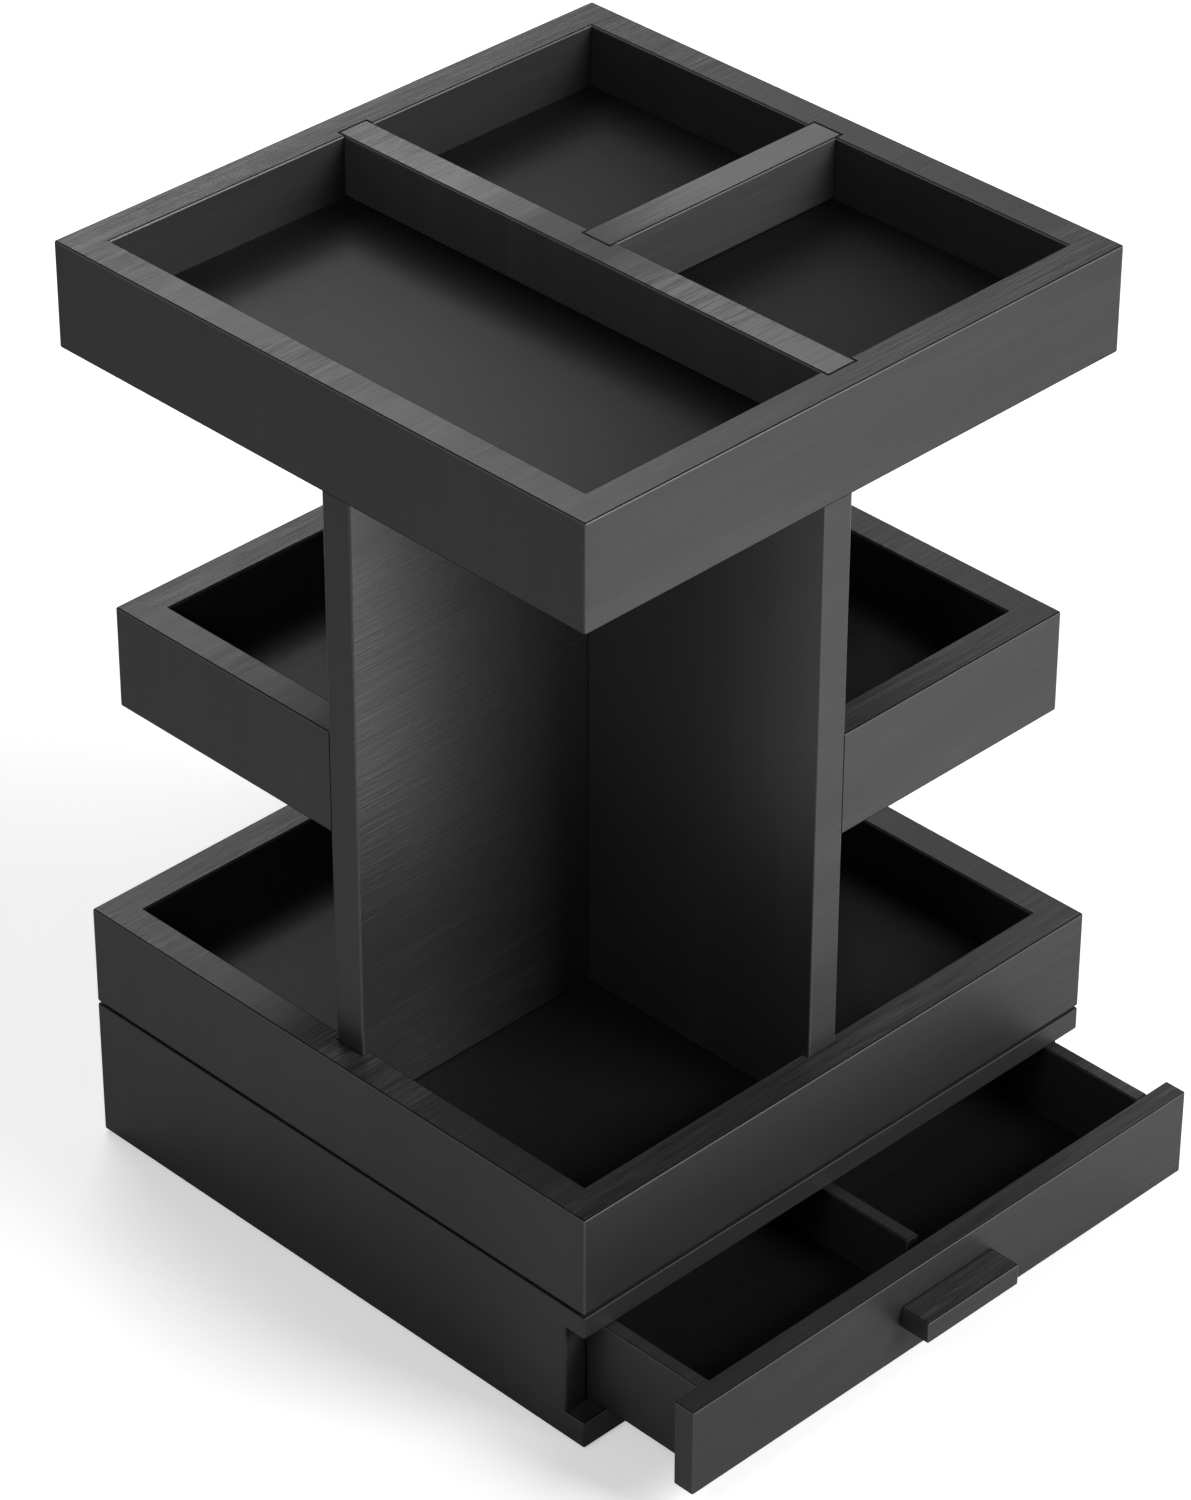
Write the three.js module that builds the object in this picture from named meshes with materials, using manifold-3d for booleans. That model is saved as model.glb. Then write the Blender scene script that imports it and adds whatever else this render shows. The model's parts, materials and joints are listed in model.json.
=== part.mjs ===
import * as THREE from "three";
import { mergeVertices } from "three/addons/utils/BufferGeometryUtils.js";
import Module from "manifold-3d";

// A square rotating organizer for cologne bottles and small jewellery, in millimetres, +Z up.
// A fixed base holds a drawer that slides out towards -Y. A ball turntable is let into the top of
// the base, and a tower of trays on two crossing panels turns on it about Z.
// The origin is where the turning axis meets the table, on the underside of the base.

// Outline and boards
const footprint = 228;
const rimThickness = 12;
const panelThickness = 12;
const dividerThickness = 12;
const trayFloorThickness = 12;

// Heights of the tower; a tray's floor lies above its rims' lower edges by trayFloorLift
const trayHeight = 37;
const trayFloorLift = 3.5;
const lowerSpace = 79.5;
const upperSpace = 94;

// Joints between boards
const housingDepth = 3;
const fitGap = 0.3;

// Base
const gripSheetThickness = 1;
const gripSheetInset = 4;
const baseBottomThickness = 10;
const drawerBayHeight = 33.5;
const baseTopThickness = 8.5;
const baseSideThickness = 9;
const baseBackThickness = 9;

// Drawer, pulled out by drawerOpening from shut
const drawerOpening = 47;
const drawerFrontThickness = 8;
const drawerBoardThickness = 5;
const drawerSideGap = 0.75;
const drawerUnderGap = 0.25;
const drawerOverGap = 0.75;
const drawerBackGap = 1;
const drawerDividerThickness = 5;
const drawerDividerHeight = 22.75;
const drawerDividerEndGap = 7;

// Bar pull on the drawer front
const pullWidth = 42;
const pullHeight = 8;
const pullDepth = 11.5;
const pullScrewInset = 9;

// Turntable: two square plates with a ball race between them, held together by a hollow pivot
const turningGap = 1;
const plateWidth = 110;
const plateThickness = 1.2;
const platePocketGap = 0.5;
const plateScrewInset = 8;
const ballDiameter = 4.8;
const ballCount = 12;
const raceMargin = 11.5;
const raceWidth = 11;
const raceHeight = 1.5;
const raceFloorThickness = 0.35;
const cageWidth = 5.6;
const cageThickness = 1.2;
const pivotRadius = 4;
const pivotFlangeRadius = 7;
const pivotFlangeThickness = 0.8;
const accessHoleRadius = 5;

// Fasteners; a cover is the thickness of board that is left beyond a fastener's end
const panelScrew = { headRadius: 4, headHeight: 2.6, shankRadius: 2, point: 4 };
const panelScrewLength = 40;
const panelScrewInset = 27;
const pullScrew = { headRadius: 3.2, headHeight: 2, shankRadius: 1.6, point: 2.5 };
const pullScrewCover = 3.5;
const plateScrewHead = { radius: 3, height: 1.6 };
const plateScrewShankRadius = 1.5;
const lowerPlateScrewCover = 1.5;
const upperPlateScrewCover = 5.2;
const dowelRadius = 3;
const dowelCover = 4;
const dowelInFloor = 16;
const dowelChamfer = 1;

// How far a cutter runs past the face that it opens
const cutOverrun = 1;

// Facets of round pieces
const fastenerSides = 16;
const pivotSides = 24;
const raceSides = 48;
const raceArcSteps = 6;
const ballSides = 12;
const ballRings = 8;

// Places worked out from the sizes above
const half = footprint / 2;
const inner = half - rimThickness;
const panelReach = inner + housingDepth;

const baseBottomLow = gripSheetThickness;
const bayLow = baseBottomLow + baseBottomThickness;
const bayHigh = bayLow + drawerBayHeight;
const baseHigh = bayHigh + baseTopThickness;
const towerLow = baseHigh + turningGap;

const bearingHeight = 2 * plateThickness + ballDiameter + 2 * (fitGap + raceFloorThickness);
const pocketLow = towerLow + trayFloorLift - bearingHeight;
const pocketHigh = pocketLow + bearingHeight;
const lowerPlateHigh = pocketLow + plateThickness;
const pivotLow = pocketLow - fitGap - pivotFlangeThickness;
const pivotHigh = pocketHigh + fitGap + pivotFlangeThickness;
const plateScrewPlace = plateWidth / 2 - plateScrewInset;
const ballCircleRadius = plateWidth / 2 - raceMargin - raceWidth / 2;

// Heights inside the tower, from its own underside
const lowerFloorHigh = trayFloorLift + trayFloorThickness;
const midTrayLow = trayHeight + lowerSpace;
const midTrayHigh = midTrayLow + trayHeight;
const topTrayLow = midTrayHigh + upperSpace;
const topTrayHigh = topTrayLow + trayHeight;
const topFloorLow = topTrayLow + trayFloorLift;
const topFloorHigh = topFloorLow + trayFloorThickness;
const lapLevel = (lowerFloorHigh + topFloorLow) / 2;
const upperPlateLow = trayFloorLift - plateThickness;

// Lengths and places of fasteners
const panelScrewPlace = inner - panelScrewInset;
const pullScrewPlace = pullWidth / 2 - pullScrewInset;
const pullScrewLength = drawerFrontThickness + pullDepth - pullScrewCover;
const lowerPlateScrewLength = plateThickness + pocketLow - bayHigh - lowerPlateScrewCover;
const upperPlateScrewLength = plateThickness + trayFloorThickness - upperPlateScrewCover;
const dowelInPanel = panelThickness - dowelCover;
const dowelLength = dowelInPanel + dowelInFloor;

// Finishes
const blackWood = () => new THREE.MeshStandardMaterial({ color: 0x2f2f30, roughness: 0.5, metalness: 0 });
const steel = () => new THREE.MeshStandardMaterial({ color: 0xb4b6b8, roughness: 0.35, metalness: 1 });
const beech = () => new THREE.MeshStandardMaterial({ color: 0xc9a878, roughness: 0.7, metalness: 0 });
const rubber = () => new THREE.MeshStandardMaterial({ color: 0x1c1c1c, roughness: 0.9, metalness: 0 });

const wasm = await Module();
wasm.setup();

// Turns a closed geometry into a solid for cutting and joining
function solidOf(geometry) {
  const bare = geometry.clone();
  bare.deleteAttribute("normal");
  bare.deleteAttribute("uv");
  const merged = mergeVertices(bare);
  const index = merged.index.array;
  const triangles = [];
  for (let i = 0; i < index.length; i += 3) {
    const [a, b, c] = index.slice(i, i + 3);
    if (a !== b && b !== c && c !== a) triangles.push(a, b, c);
  }
  return new wasm.Manifold(new wasm.Mesh({
    numProp: 3,
    vertProperties: new Float32Array(merged.attributes.position.array),
    triVerts: new Uint32Array(triangles),
  }));
}

// Turns a solid back into a geometry
function geometryOf(solid) {
  const mesh = solid.getMesh();
  const geometry = new THREE.BufferGeometry();
  geometry.setAttribute("position", new THREE.BufferAttribute(mesh.vertProperties, 3));
  geometry.setIndex(new THREE.BufferAttribute(mesh.triVerts, 1));
  geometry.computeVertexNormals();
  return geometry;
}

const between = (a, b) => [Math.min(a, b), Math.max(a, b)];
const across = (width) => [-width / 2, width / 2];
const middleOf = ([low, high]) => (low + high) / 2;

// A box between three pairs of limits, as a geometry round its own middle
function boxGeometry(spans) {
  return new THREE.BoxGeometry(...spans.map(([low, high]) => high - low));
}

// A box in its place, for cutting
function block(spanX, spanY, spanZ) {
  const spans = [spanX, spanY, spanZ];
  return solidOf(boxGeometry(spans).translate(...spans.map(middleOf)));
}

function meshOf(name, geometry, material) {
  const mesh = new THREE.Mesh(geometry, material);
  mesh.name = name;
  return mesh;
}

// A board between three pairs of limits, less its cuts, which lie in the same frame
function board(name, [spanX, spanY, spanZ], cuts = [], material = blackWood()) {
  const spans = [spanX, spanY, spanZ];
  const middle = spans.map(middleOf);
  let geometry = boxGeometry(spans);
  if (cuts.length > 0) {
    const solid = cuts.reduce((rest, cut) => rest.subtract(cut), block(...spans));
    geometry = geometryOf(solid).translate(...middle.map((place) => -place));
  }
  const mesh = meshOf(name, geometry, material);
  mesh.position.set(...middle);
  return mesh;
}

// A turned shape about Z: the profile's points are [radius, height]
function turned(profile, sides) {
  const points = profile.map(([radius, height]) => new THREE.Vector2(radius, height));
  return new THREE.LatheGeometry(points, sides).rotateX(Math.PI / 2);
}

function cylinder(radius, low, high, sides) {
  return turned([[0, low], [radius, low], [radius, high], [0, high]], sides);
}

// The place of a fastener: its head's point, and the way that it is driven
function driven(position, direction) {
  const turn = new THREE.Quaternion().setFromUnitVectors(
    new THREE.Vector3(0, 0, 1), new THREE.Vector3(...direction));
  return { position: new THREE.Vector3(...position), turn };
}

function fastener(name, geometry, place, material) {
  const mesh = meshOf(name, geometry, material);
  mesh.position.copy(place.position);
  mesh.quaternion.copy(place.turn);
  return mesh;
}

function holeAt(geometry, place) {
  const matrix = new THREE.Matrix4().compose(place.position, place.turn, new THREE.Vector3(1, 1, 1));
  return solidOf(geometry.applyMatrix4(matrix));
}

// Countersunk wood screw, head flush at height 0 and point upwards
function countersunkScrew({ headRadius, headHeight, shankRadius, point }, length) {
  const shoulder = length - point;
  return turned([
    [0, 0], [headRadius, 0], [shankRadius, headHeight], [shankRadius, shoulder], [0, length],
  ], fastenerSides);
}

function countersunkHole({ headRadius, headHeight, shankRadius }, length) {
  const mouth = headRadius + fitGap;
  const bore = shankRadius + fitGap;
  return turned([
    [0, -cutOverrun], [mouth, -cutOverrun], [mouth, 0], [bore, headHeight], [bore, length + fitGap],
    [0, length + fitGap],
  ], fastenerSides);
}

// Pan-head screw for a plate, underside of the head at height 0 and point upwards
function plateScrew(length) {
  const { radius, height } = plateScrewHead;
  return turned([
    [0, -height], [radius, -height], [radius, 0], [plateScrewShankRadius, 0],
    [plateScrewShankRadius, length], [0, length],
  ], fastenerSides);
}

function plateScrewHole(length) {
  return cylinder(plateScrewShankRadius + fitGap, -cutOverrun, length + fitGap, fastenerSides);
}

// Dowel from its end in the panel, at height 0, to its end in the tray floor
function dowel() {
  const tip = dowelRadius - dowelChamfer;
  return turned([
    [0, 0], [tip, 0], [dowelRadius, dowelChamfer], [dowelRadius, dowelLength - dowelChamfer],
    [tip, dowelLength], [0, dowelLength],
  ], fastenerSides);
}

function dowelHole() {
  return cylinder(dowelRadius + fitGap, -fitGap, dowelLength + fitGap, fastenerSides);
}

const corners = [
  ["front_left", -1, -1], ["front_right", 1, -1], ["back_left", -1, 1], ["back_right", 1, 1],
];

// One screw near each corner of a turntable plate, with its head at a height, driven up or down
function plateScrewPlaces(height, direction) {
  return corners.map(([corner, x, y]) => ({
    corner,
    place: driven([x * plateScrewPlace, y * plateScrewPlace, height], [0, 0, direction]),
  }));
}

function plateScrewHoles(places, length) {
  return places.map(({ place }) => holeAt(plateScrewHole(length), place));
}

const lowerPlateScrews = plateScrewPlaces(lowerPlateHigh, -1);
const upperPlateScrews = plateScrewPlaces(upperPlateLow, 1);

// Base: five boards and the sheet that it stands on
function makeBase() {
  const group = new THREE.Group();
  const whole = across(footprint);
  const bay = [bayLow, bayHigh];
  const sideFront = -half + drawerFrontThickness + fitGap;
  const bayHalf = half - baseSideThickness;
  const sheet = across(footprint - 2 * gripSheetInset);
  group.add(board("grip_sheet", [sheet, sheet, [0, gripSheetThickness]], [], rubber()));
  group.add(board("base_bottom_panel", [whole, whole, [baseBottomLow, bayLow]]));
  for (const [side, sign] of [["left", -1], ["right", 1]]) {
    const spanX = between(sign * half, sign * bayHalf);
    group.add(board(`base_${side}_side`, [spanX, [sideFront, half], bay]));
  }
  group.add(board("base_back_panel", [across(2 * bayHalf), [half - baseBackThickness, half], bay]));

  const pocketWidth = across(plateWidth + 2 * platePocketGap);
  const cuts = [
    block(pocketWidth, pocketWidth, [pocketLow, baseHigh + cutOverrun]),
    solidOf(cylinder(pivotFlangeRadius + fitGap, pivotLow - fitGap, baseHigh, pivotSides)),
    accessHole(),
    ...plateScrewHoles(lowerPlateScrews, lowerPlateScrewLength),
  ];
  group.add(board("base_top_panel", [whole, whole, [bayHigh, baseHigh]], cuts));
  return group;
}

// Hole in the base top through which a screwdriver reaches the upper plate's screws, one by one,
// as the tower is turned; it lies as far out as they do
function accessHole() {
  const reach = plateScrewPlace * Math.SQRT2;
  return solidOf(cylinder(accessHoleRadius, bayHigh - cutOverrun, baseHigh + cutOverrun, pivotSides)
    .translate(0, -reach, 0));
}

// Turntable

// Half a race: a ring on the plate with a round groove for the balls, whose centres lie at ballHeight
function raceRing(ballHeight) {
  const grooveRadius = ballDiameter / 2 + fitGap;
  const top = plateThickness + raceHeight;
  const root = plateThickness / 2;
  const grooveHalfAngle = Math.acos((ballHeight - top) / grooveRadius);
  const innerRadius = ballCircleRadius - raceWidth / 2;
  const outerRadius = ballCircleRadius + raceWidth / 2;
  const groove = [];
  for (let i = 0; i <= raceArcSteps; i += 1) {
    const angle = grooveHalfAngle * (1 - 2 * i / raceArcSteps);
    groove.push([
      ballCircleRadius + grooveRadius * Math.sin(angle),
      ballHeight - grooveRadius * Math.cos(angle),
    ]);
  }
  return turned([
    [innerRadius, root], [outerRadius, root], [outerRadius, top], ...groove, [innerRadius, top],
    [innerRadius, root],
  ], raceSides);
}

// A plate lies on height 0 with its race upwards; the upper plate is the same, turned over
function plateGeometry() {
  const width = across(plateWidth);
  const ballHeight = bearingHeight / 2;
  const boreHigh = plateThickness + cutOverrun;
  let solid = block(width, width, [0, plateThickness]).add(solidOf(raceRing(ballHeight)));
  solid = solid.subtract(solidOf(cylinder(pivotRadius + fitGap, -cutOverrun, boreHigh, pivotSides)));
  for (const [, x, y] of corners) {
    const hole = cylinder(plateScrewShankRadius + fitGap, -cutOverrun, boreHigh, fastenerSides);
    solid = solid.subtract(solidOf(hole.translate(x * plateScrewPlace, y * plateScrewPlace, 0)));
  }
  return geometryOf(solid);
}

function makeFixedTurntable() {
  const group = new THREE.Group();
  const plate = meshOf("turntable_lower_plate", plateGeometry(), steel());
  plate.position.z = pocketLow;
  group.add(plate);
  for (const { corner, place } of lowerPlateScrews) {
    const name = `lower_plate_screw_${corner}`;
    group.add(fastener(name, plateScrew(lowerPlateScrewLength), place, steel()));
  }
  const pivot = turned([
    [0, pivotLow], [pivotFlangeRadius, pivotLow], [pivotFlangeRadius, pivotLow + pivotFlangeThickness],
    [pivotRadius, pivotLow + pivotFlangeThickness], [pivotRadius, pivotHigh - pivotFlangeThickness],
    [pivotFlangeRadius, pivotHigh - pivotFlangeThickness], [pivotFlangeRadius, pivotHigh], [0, pivotHigh],
  ], pivotSides);
  group.add(meshOf("turntable_pivot", pivot, steel()));
  return group;
}

// Balls in their cage, a flat ring through their middles
function makeBallCage() {
  const low = -cageThickness / 2;
  const high = cageThickness / 2;
  const innerRadius = ballCircleRadius - cageWidth / 2;
  const outerRadius = ballCircleRadius + cageWidth / 2;
  let solid = solidOf(turned([
    [innerRadius, low], [outerRadius, low], [outerRadius, high], [innerRadius, high], [innerRadius, low],
  ], raceSides));
  for (let i = 0; i < ballCount; i += 1) {
    const angle = 2 * Math.PI * i / ballCount;
    const ball = new THREE.SphereGeometry(ballDiameter / 2, ballSides, ballRings)
      .translate(ballCircleRadius * Math.cos(angle), ballCircleRadius * Math.sin(angle), 0);
    solid = solid.add(solidOf(ball));
  }
  const cage = meshOf("ball_cage", geometryOf(solid), steel());
  cage.position.z = pocketLow + bearingHeight / 2;
  return cage;
}

// Tower

// Screws through a tray's floor into the panels, on the lines of the panels
function panelScrews(name, sides, height, direction) {
  return sides.map(([side, x, y]) => ({
    name: `${name}_${side}`,
    place: driven([x * panelScrewPlace, y * panelScrewPlace, height], [0, 0, direction]),
  }));
}

const panelSides = [["left", -1, 0], ["right", 1, 0], ["front", 0, -1], ["back", 0, 1]];
const lowerPanelScrews = panelScrews("lower_panel_screw", panelSides, trayFloorLift, 1);

// No screw goes down on the left, where no divider would cover its head
const coveredSides = panelSides.filter(([side]) => side !== "left");
const topPanelScrews = panelScrews("top_panel_screw", coveredSides, topFloorHigh, -1);

function panelScrewHoles(screws) {
  return screws.map(({ place }) => holeAt(countersunkHole(panelScrew, panelScrewLength), place));
}

// The room that both crossing panels take between two heights, with clearance round their faces and ends
function panelCross(low, high) {
  const length = across(2 * (panelReach + fitGap));
  const width = across(panelThickness + 2 * fitGap);
  return block(length, width, [low, high]).add(block(width, length, [low, high]));
}

// A full tray: four rims, the front and back ones running through, and a floor between them
function makeTray(name, low, rimCuts, floorCuts) {
  const group = new THREE.Group();
  const spanZ = [low, low + trayHeight];
  for (const [side, sign] of [["front", -1], ["back", 1]]) {
    const spanY = between(sign * half, sign * inner);
    group.add(board(`${name}_${side}_rim`, [across(footprint), spanY, spanZ], rimCuts[side]));
  }
  for (const [side, sign] of [["left", -1], ["right", 1]]) {
    const spanX = between(sign * half, sign * inner);
    group.add(board(`${name}_${side}_rim`, [spanX, across(2 * inner), spanZ], rimCuts[side]));
  }
  const floorLow = low + trayFloorLift;
  const floor = across(2 * inner);
  group.add(board(`${name}_floor`, [floor, floor, [floorLow, floorLow + trayFloorThickness]], floorCuts));
  return group;
}

function makeLowerTray() {
  const housing = [panelCross(lowerFloorHigh, trayHeight + cutOverrun)];
  const rimCuts = { front: housing, back: housing, left: housing, right: housing };
  const flangeHigh = pivotHigh - towerLow + fitGap;
  const floorCuts = [
    ...panelScrewHoles(lowerPanelScrews),
    ...plateScrewHoles(upperPlateScrews, upperPlateScrewLength),
    solidOf(cylinder(pivotFlangeRadius + fitGap, trayFloorLift - cutOverrun, flangeHigh, pivotSides)),
  ];
  return makeTray("lower_tray", 0, rimCuts, floorCuts);
}

function makeTurningPlate() {
  const group = new THREE.Group();
  const plate = meshOf("turntable_upper_plate", plateGeometry(), steel());
  plate.rotation.x = Math.PI;
  plate.position.z = trayFloorLift;
  group.add(plate);
  for (const { corner, place } of upperPlateScrews) {
    const name = `upper_plate_screw_${corner}`;
    group.add(fastener(name, plateScrew(upperPlateScrewLength), place, steel()));
  }
  return group;
}

// The two mid trays stand in opposite quarters: left and back, and right and front
const midTrays = [["left", -1, 1, "back"], ["right", 1, -1, "front"]];
const midFloorMiddle = (panelThickness / 2 + panelReach - rimThickness) / 2;
const midDowelLevel = midTrayLow + trayFloorLift + trayFloorThickness / 2;

function midDowels([tray, signX, signY]) {
  const start = panelThickness / 2 - dowelInPanel;
  return [
    {
      name: `mid_tray_${tray}_dowel_x`,
      place: driven([signX * start, signY * midFloorMiddle, midDowelLevel], [signX, 0, 0]),
    },
    {
      name: `mid_tray_${tray}_dowel_y`,
      place: driven([signX * midFloorMiddle, signY * start, midDowelLevel], [0, signY, 0]),
    },
  ];
}

// A mid tray has its two outer rims, flush with the panels' ends, and a floor; the panels close it
function makeMidTray(midTray) {
  const [tray, signX, signY, endSide] = midTray;
  const group = new THREE.Group();
  const face = panelThickness / 2;
  const rimInner = panelReach - rimThickness;
  const spanZ = [midTrayLow, midTrayHigh];
  const endRim = [
    between(signX * face, signX * panelReach), between(signY * rimInner, signY * panelReach), spanZ,
  ];
  const sideRim = [
    between(signX * rimInner, signX * panelReach), between(signY * face, signY * rimInner), spanZ,
  ];
  const floorLow = midTrayLow + trayFloorLift;
  const floor = [
    between(signX * face, signX * rimInner), between(signY * face, signY * rimInner),
    [floorLow, floorLow + trayFloorThickness],
  ];
  const dowels = midDowels(midTray);
  const dowelHoles = dowels.map(({ place }) => holeAt(dowelHole(), place));
  group.add(board(`mid_tray_${tray}_${endSide}_rim`, endRim));
  group.add(board(`mid_tray_${tray}_side_rim`, sideRim));
  group.add(board(`mid_tray_${tray}_floor`, floor, dowelHoles));
  for (const { name, place } of dowels) group.add(fastener(name, dowel(), place, beech()));
  return group;
}

// Two panels cross at half-laps, cut from above in one and from below in the other
function makePanels() {
  const group = new THREE.Group();
  const length = across(2 * panelReach);
  const thickness = across(panelThickness);
  const spanZ = [lowerFloorHigh, topFloorLow];
  const lapWidth = across(panelThickness + 2 * fitGap);
  const lapDepth = across(panelThickness + 2 * cutOverrun);
  const holes = [
    ...panelScrewHoles([...lowerPanelScrews, ...topPanelScrews]),
    ...midTrays.flatMap(midDowels).map(({ place }) => holeAt(dowelHole(), place)),
  ];
  const upperLap = block(lapWidth, lapDepth, [lapLevel, topFloorLow + cutOverrun]);
  const lowerLap = block(lapDepth, lapWidth, [lowerFloorHigh - cutOverrun, lapLevel]);
  group.add(board("cross_panel_x", [length, thickness, spanZ], [upperLap, ...holes]));
  group.add(board("cross_panel_y", [thickness, length, spanZ], [lowerLap, ...holes]));
  return group;
}

// Top tray with a divider from front to back, and a short one from it to the right rim
function makeTopTray() {
  const dividerFace = dividerThickness / 2;
  const shortEnd = dividerFace - housingDepth;
  const spanZ = [topFloorHigh, topTrayHigh];
  const openZ = [topFloorHigh, topTrayHigh + cutOverrun];
  const housingWidth = across(dividerThickness + 2 * fitGap);
  const reach = panelReach + fitGap;
  const longHousing = block(housingWidth, across(2 * reach), openZ);
  const shortHousing = block([shortEnd - fitGap, reach], housingWidth, openZ);
  const panelHousing = panelCross(topTrayLow - cutOverrun, topFloorLow);
  const rimCuts = {
    front: [panelHousing, longHousing],
    back: [panelHousing, longHousing],
    left: [panelHousing],
    right: [panelHousing, shortHousing],
  };
  const group = makeTray("top_tray", topTrayLow, rimCuts, panelScrewHoles(topPanelScrews));
  const thickness = across(dividerThickness);
  group.add(board("long_divider", [thickness, across(2 * panelReach), spanZ], [shortHousing]));
  group.add(board("short_divider", [[shortEnd, panelReach], thickness, spanZ]));
  return group;
}

function makeTower() {
  const group = new THREE.Group();
  group.add(makeTurningPlate(), makeLowerTray(), makePanels());
  group.add(...midTrays.map(makeMidTray));
  group.add(makeTopTray());
  for (const { name, place } of [...lowerPanelScrews, ...topPanelScrews]) {
    group.add(fastener(name, countersunkScrew(panelScrew, panelScrewLength), place, steel()));
  }
  group.position.z = towerLow;
  return group;
}

// Drawer, drawn shut: the front lies in the base's outline and its ends are flush with the base
function makeDrawer() {
  const group = new THREE.Group();
  const low = bayLow + drawerUnderGap;
  const high = bayHigh - drawerOverGap;
  const spanZ = [low, high];
  const frontBack = -half + drawerFrontThickness;
  const backEnd = half - baseBackThickness - drawerBackGap;
  const backFront = backEnd - drawerBoardThickness;
  const outer = half - baseSideThickness - drawerSideGap;
  const insideHalf = outer - drawerBoardThickness;
  const floorHigh = low + drawerBoardThickness;
  const pullMiddle = middleOf(spanZ);

  const screws = [["left", -1], ["right", 1]].map(([side, sign]) => ({
    name: `pull_screw_${side}`,
    place: driven([sign * pullScrewPlace, frontBack, pullMiddle], [0, -1, 0]),
  }));
  const holes = screws.map(({ place }) => holeAt(countersunkHole(pullScrew, pullScrewLength), place));
  const pullZ = [pullMiddle - pullHeight / 2, pullMiddle + pullHeight / 2];

  group.add(board("drawer_front", [across(footprint), [-half, frontBack], spanZ], holes));
  for (const [side, sign] of [["left", -1], ["right", 1]]) {
    const spanX = between(sign * outer, sign * insideHalf);
    group.add(board(`drawer_${side}_side`, [spanX, [frontBack, backEnd], spanZ]));
  }
  const inside = across(2 * insideHalf);
  group.add(board("drawer_back", [inside, [backFront, backEnd], spanZ]));
  group.add(board("drawer_bottom", [inside, [frontBack, backFront], [low, floorHigh]]));
  group.add(board("drawer_divider", [
    across(drawerDividerThickness), [frontBack + drawerDividerEndGap, backFront],
    [floorHigh, floorHigh + drawerDividerHeight],
  ]));
  group.add(board("drawer_pull", [across(pullWidth), [-half - pullDepth, -half], pullZ], holes));
  for (const { name, place } of screws) {
    group.add(fastener(name, countersunkScrew(pullScrew, pullScrewLength), place, steel()));
  }
  group.position.y = -drawerOpening;
  return group;
}

const organizer = new THREE.Group();
organizer.add(makeBase(), makeFixedTurntable(), makeBallCage(), makeTower(), makeDrawer());

export default organizer;
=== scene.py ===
import json
import math

import bmesh
import bpy
from mathutils import Matrix, Vector

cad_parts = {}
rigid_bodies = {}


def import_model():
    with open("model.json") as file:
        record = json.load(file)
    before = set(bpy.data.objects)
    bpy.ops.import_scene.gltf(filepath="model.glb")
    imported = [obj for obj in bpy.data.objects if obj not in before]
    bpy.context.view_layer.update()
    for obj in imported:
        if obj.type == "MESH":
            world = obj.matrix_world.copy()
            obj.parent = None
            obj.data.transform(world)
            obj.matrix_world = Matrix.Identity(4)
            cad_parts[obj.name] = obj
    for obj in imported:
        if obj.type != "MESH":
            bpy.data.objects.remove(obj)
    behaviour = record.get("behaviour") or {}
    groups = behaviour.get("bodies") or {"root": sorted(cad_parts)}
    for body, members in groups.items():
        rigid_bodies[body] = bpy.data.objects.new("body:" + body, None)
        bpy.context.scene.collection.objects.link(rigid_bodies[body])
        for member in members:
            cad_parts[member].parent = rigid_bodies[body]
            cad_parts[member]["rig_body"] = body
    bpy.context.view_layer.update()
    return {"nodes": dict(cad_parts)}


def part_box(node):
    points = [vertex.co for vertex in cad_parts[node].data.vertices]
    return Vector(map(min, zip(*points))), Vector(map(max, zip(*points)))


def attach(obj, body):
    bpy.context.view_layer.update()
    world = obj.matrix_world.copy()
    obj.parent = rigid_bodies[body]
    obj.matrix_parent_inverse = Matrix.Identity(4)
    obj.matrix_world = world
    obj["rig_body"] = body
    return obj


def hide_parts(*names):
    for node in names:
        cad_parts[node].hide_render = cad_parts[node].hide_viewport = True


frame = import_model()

MM = 0.001

# Meshes
snap_digits = 6
merge_distance = 0.5e-6
flat_angle = math.radians(0.5)
sharp_angle = math.radians(30)
smooth_angle = math.radians(32)

# Boards
board_arris = 0.6 * MM
drawer_arris = 0.45 * MM
arris_facets = 2
overrun = 5 * MM
flush_gap = 1 * MM
on_face = 0.1 * MM

# How much of a face's normal lies along an axis when the face counts as facing that way
level_lean = 0.5
end_lean = 0.9
arris_level_lean = 0.8
arris_under_lean = 0.1

# Slots of a board's finishes
face_slot = 0
# The shadow and highlight slots hold darker and paler copies of the wood for the arrises: a painted shadow
# line and a painted highlight line
shadow_slot = 1
highlight_slot = 2
end_slot = 3

# Screws, in millimetres: rings of radius and height, then the thread's root, crest, start, end and pitch,
# then the recess's height, half length and depth
panel_screw = (
    [(3.8, 0), (3.8, 0.25), (1.95, 2.6), (1.95, 13), (1.4, 13.6), (1.4, 36), (0.15, 39.9)],
    (1.4, 2.0, 14, 36, 2.0),
    (0, 2.0, 1.9),
)
pull_screw = (
    [(3.05, 0), (3.05, 0.2), (1.55, 2), (1.55, 5), (1.1, 5.5), (1.1, 13.5), (0.15, 15.9)],
    (1.1, 1.6, 5.8, 13.3, 1.25),
    (0, 1.6, 1.4),
)
plate_head = 1.6
lower_plate_screw_length = 4.2
upper_plate_screw_length = 8.0
screw_sides = 24
thread_steps = 16
thread_foot_depth = 0.4
thread_half_width = 0.4
cross_width = 0.45 * MM
cross_foot_length = 0.35
cross_foot_width = 0.6
cut_overrun = 1 * MM

# Ball cage
ball_count = 12
ball_segments = 24
ball_rings = 16
cage_sides = 96
cage_width = 5.6 * MM
cage_thickness = 1.2 * MM
pocket_sides = 32
pocket_gap = 0.05 * MM

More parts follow.
